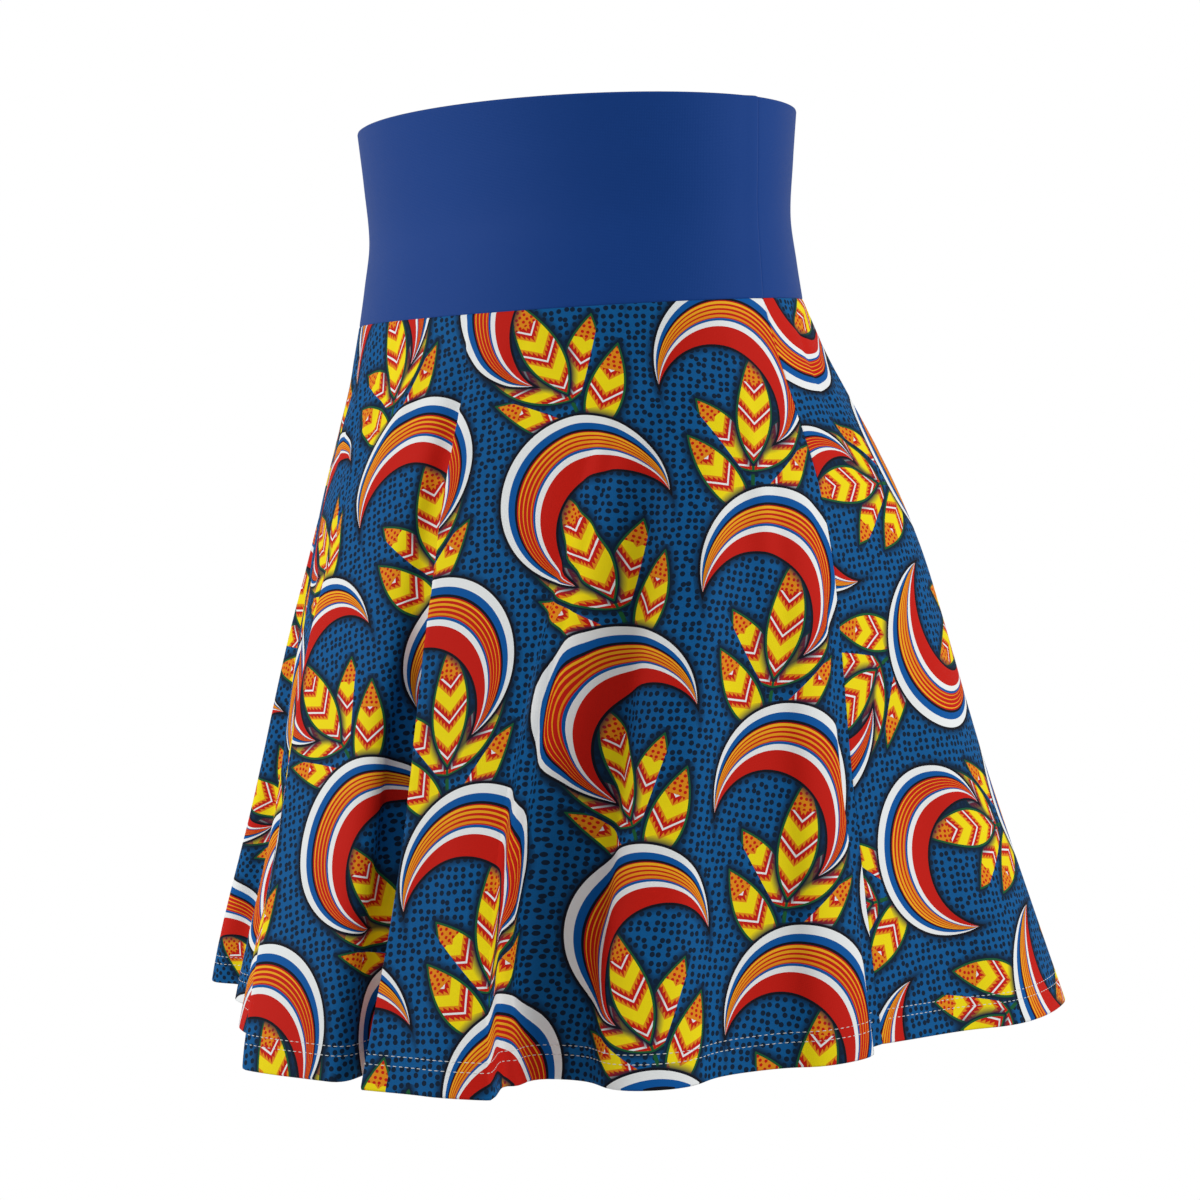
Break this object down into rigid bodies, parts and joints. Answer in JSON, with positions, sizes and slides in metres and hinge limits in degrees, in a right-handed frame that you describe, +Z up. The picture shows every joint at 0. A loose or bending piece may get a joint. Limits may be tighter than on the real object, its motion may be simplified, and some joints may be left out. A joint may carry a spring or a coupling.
{
  "type": "circle skirt",
  "caption": "Short flared circle skirt with a high fitted waistband, soft flutes and an open waist and hem, kept in its hollow worn form.",
  "frame": {"origin": "centre of the narrowest ring of the waist, where the wearer's body holds the skirt", "axes": "+Z up along the wearer's body, -Y to the wearer's front, +X to the wearer's left side"},
  "size_m": [0.4502, 0.5103, 0.467],
  "materials": {
    "waistband_knit": "plain blue stretch knit, matt with a soft sheen at grazing angles",
    "printed_knit": "printed stretch knit: dotted blue ground with arches, leaves and sprays in white, red, orange and yellow",
    "hem_thread": "white sewing thread"
  },
  "bodies": {
    "root": {"waistband_front": "waistband_knit", "waistband_back": "waistband_knit", "skirt_front": "printed_knit", "skirt_back": "printed_knit"}
  },
  "joints": []
}
